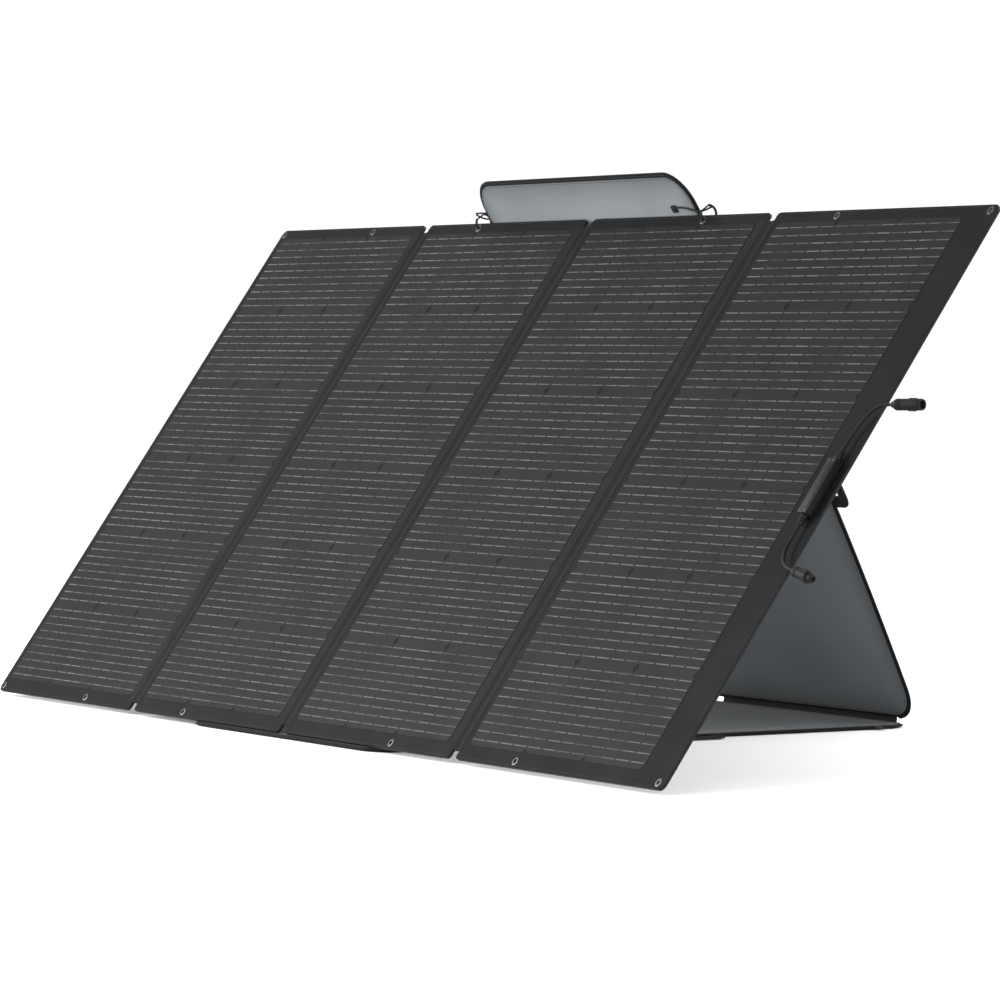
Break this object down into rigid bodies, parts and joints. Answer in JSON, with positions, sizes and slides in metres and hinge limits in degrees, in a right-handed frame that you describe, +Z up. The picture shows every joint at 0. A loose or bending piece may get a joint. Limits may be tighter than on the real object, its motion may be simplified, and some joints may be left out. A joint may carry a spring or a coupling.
{
  "type": "folding solar panel kit",
  "caption": "Wide folding solar array leaning on its open zip case, with a grey lined lid as kickstand, a side junction box, leads, eyelets and spring clips.",
  "frame": {"origin": "on the ground, under the middle of the whole object's box, leads left out", "axes": "+X along the array's width, +Y to the back where the stand is, +Z up"},
  "size_m": [2.4523, 1.0628, 0.9495],
  "materials": {
    "cover_fabric": "coated woven fabric, matt",
    "board": "glass-fibre stiffener, matt",
    "film": "textured laminate, matt",
    "cells": "laminated silicon, satin",
    "ribbons": "tinned ribbon under laminate",
    "eyelets": "satin metal",
    "hinge_fabric": "laminated fabric hinge",
    "case_fabric": "coated woven fabric",
    "lining": "smooth grey lining",
    "binding": "black edge binding",
    "zip": "coil zip tape",
    "webbing": "black webbing",
    "slider": "black slider",
    "box_black": "black moulded plastic",
    "box_cover": "light grey moulded plastic, satin",
    "gland": "moulded plastic",
    "lead": "flexible insulated lead",
    "plug": "moulded plastic",
    "clip": "black coated wire",
    "gate": "black coated wire",
    "clip_cord": "thin elastic cord"
  },
  "bodies": {
    "stand": {"base_shell": "case_fabric", "base_lining": "lining", "base_binding": "binding", "base_zip": "zip", "base_handle_loops": "webbing", "case_spine": "case_fabric"},
    "lid": {"lid_shell": "case_fabric", "lid_lining": "lining", "lid_binding": "binding", "lid_zip": "zip", "lid_handle_loops": "webbing", "clip_patch": "webbing", "clip_cord_left": "clip_cord", "clip_cord_right": "clip_cord"},
    "panel_4": {"panel_4_cover": "cover_fabric", "panel_4_board": "board", "panel_4_film": "film", "panel_4_cells": "cells", "panel_4_ribbons": "ribbons", "panel_4_eyelets": "eyelets", "panel_4_strip_left": "hinge_fabric", "junction_box": "box_black", "junction_box_cover": "box_cover", "gland_upper": "gland", "gland_lower": "gland", "lead_upper": "lead", "lead_lower": "lead", "plug_upper": "plug", "plug_lower": "plug"},
    "panel_3": {"panel_3_cover": "cover_fabric", "panel_3_board": "board", "panel_3_film": "film", "panel_3_cells": "cells", "panel_3_ribbons": "ribbons", "panel_3_eyelets": "eyelets", "panel_3_strip_right": "hinge_fabric", "panel_3_strip_left": "hinge_fabric", "clip_right": "clip"},
    "panel_2": {"panel_2_cover": "cover_fabric", "panel_2_board": "board", "panel_2_film": "film", "panel_2_cells": "cells", "panel_2_ribbons": "ribbons", "panel_2_eyelets": "eyelets", "panel_2_strip_right": "hinge_fabric", "panel_2_strip_left": "hinge_fabric", "clip_left": "clip"},
    "panel_1": {"panel_1_cover": "cover_fabric", "panel_1_board": "board", "panel_1_film": "film", "panel_1_cells": "cells", "panel_1_ribbons": "ribbons", "panel_1_eyelets": "eyelets", "panel_1_strip_right": "hinge_fabric"},
    "base_handle": {"base_handle": "webbing"},
    "lid_handle": {"lid_handle": "webbing"},
    "slider_right": {"slider_right": "slider"},
    "slider_left": {"slider_left": "slider"},
    "gate_left": {"clip_left_gate": "gate"},
    "gate_right": {"clip_right_gate": "gate"}
  },
  "joints": [
    {"name": "lid_fold", "type": "hinge", "parent": "stand", "child": "lid", "pos_m": [-0.034, 0.52578, 0.0072], "axis": [-1, 0, 0], "range_deg": [0, 110]},
    {"name": "array_tilt", "type": "hinge", "parent": "stand", "child": "panel_4", "pos_m": [-0.034, -0.52331, 0.0065], "axis": [1, 0, 0], "range_deg": [0, 35]},
    {"name": "fold_34", "type": "hinge", "parent": "panel_4", "child": "panel_3", "pos_m": [0.5525, -0.22578, 0.44396], "axis": [0, 0.5736, 0.8192], "range_deg": [0, 175]},
    {"name": "fold_23", "type": "hinge", "parent": "panel_3", "child": "panel_2", "pos_m": [-0.0325, -0.2189, 0.43914], "axis": [0, 0.5736, 0.8192], "range_deg": [-175, 0]},
    {"name": "fold_12", "type": "hinge", "parent": "panel_2", "child": "panel_1", "pos_m": [-0.6115, -0.22578, 0.44396], "axis": [0, 0.5736, 0.8192], "range_deg": [0, 175]},
    {"name": "base_handle_swing", "type": "hinge", "parent": "stand", "child": "base_handle", "pos_m": [0.3282, -0.00522, 0.0052], "axis": [0, -1, 0], "range_deg": [0, 90]},
    {"name": "lid_handle_swing", "type": "hinge", "parent": "lid", "child": "lid_handle", "pos_m": [0.3282, 0.3043, 0.49052], "axis": [0, -0.4609, 0.8875], "range_deg": [0, 90]},
    {"name": "slider_right_slide", "type": "slide", "parent": "stand", "child": "slider_right", "axis": [0, -1, 0], "range_m": [0, 0.3]},
    {"name": "slider_left_slide", "type": "slide", "parent": "stand", "child": "slider_left", "axis": [0, -1, 0], "range_m": [0, 0.88]},
    {"name": "gate_left_pivot", "type": "hinge", "parent": "panel_2", "child": "gate_left", "pos_m": [-0.4145, 0.07182, 0.88461], "axis": [-1, 0, 0], "range_deg": [0, 25], "stiffness_Nm_per_rad": 0.01, "springref_deg": -17.19},
    {"name": "gate_right_pivot", "type": "hinge", "parent": "panel_3", "child": "gate_right", "pos_m": [0.3425, 0.07182, 0.88461], "axis": [-1, 0, 0], "range_deg": [0, 25], "stiffness_Nm_per_rad": 0.01, "springref_deg": -17.19}
  ],
  "couplings": [
    {"joint": "fold_23", "follows": "fold_34", "ratio": -1},
    {"joint": "fold_12", "follows": "fold_34", "ratio": 1}
  ]
}
